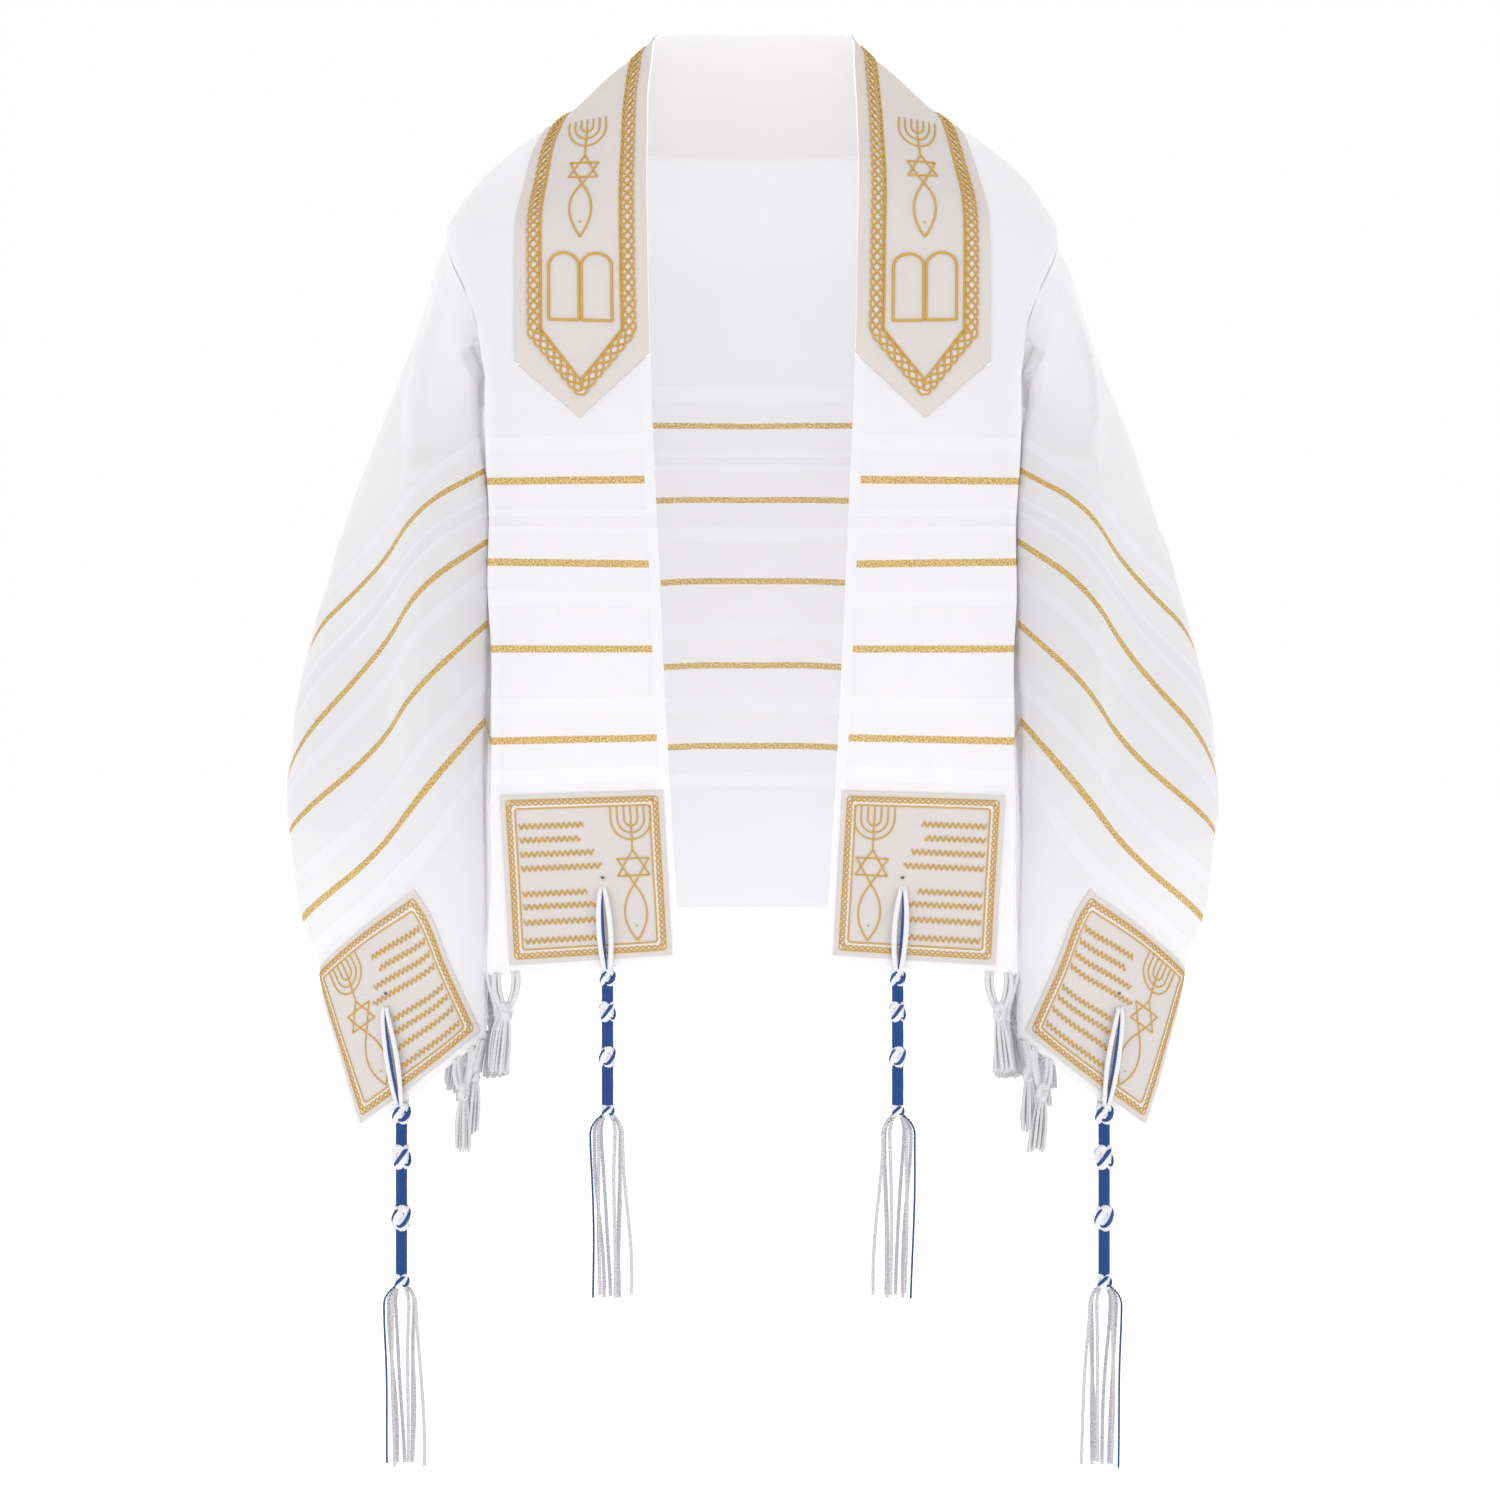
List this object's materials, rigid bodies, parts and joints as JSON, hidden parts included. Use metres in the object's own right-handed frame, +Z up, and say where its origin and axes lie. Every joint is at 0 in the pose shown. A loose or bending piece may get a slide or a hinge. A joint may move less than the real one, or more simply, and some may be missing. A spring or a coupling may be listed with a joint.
{
  "type": "worn tallit prayer shawl",
  "caption": "Fringed prayer shawl in its worn drape, with a pointed neckband, square corner patches and knotted corner tassels.",
  "frame": {"origin": "base of the wearer's neck, in the middle between the shoulders that hold the shawl", "axes": "+Z up, +Y towards the wearer's back, +X towards the viewer's right of the front"},
  "size_m": [0.7808, 0.2669, 1.2082],
  "materials": {
    "shawl_cloth": "white woven cloth with satin and metallic gold stripes",
    "trim_twill": "cream twill with gold embroidery",
    "fringe_yarn": "matte white yarn",
    "tzitzit_cord": "white cord wound with blue cord"
  },
  "bodies": {
    "root": {"shawl": "shawl_cloth", "neckband": "trim_twill", "corner_patch_front_left": "trim_twill", "corner_patch_front_right": "trim_twill", "corner_patch_outer_left": "trim_twill", "corner_patch_outer_right": "trim_twill", "fringe_left": "fringe_yarn", "fringe_right": "fringe_yarn", "tzitzit_front_left": "tzitzit_cord", "tzitzit_front_right": "tzitzit_cord", "tzitzit_outer_left": "tzitzit_cord", "tzitzit_outer_right": "tzitzit_cord"}
  },
  "joints": []
}
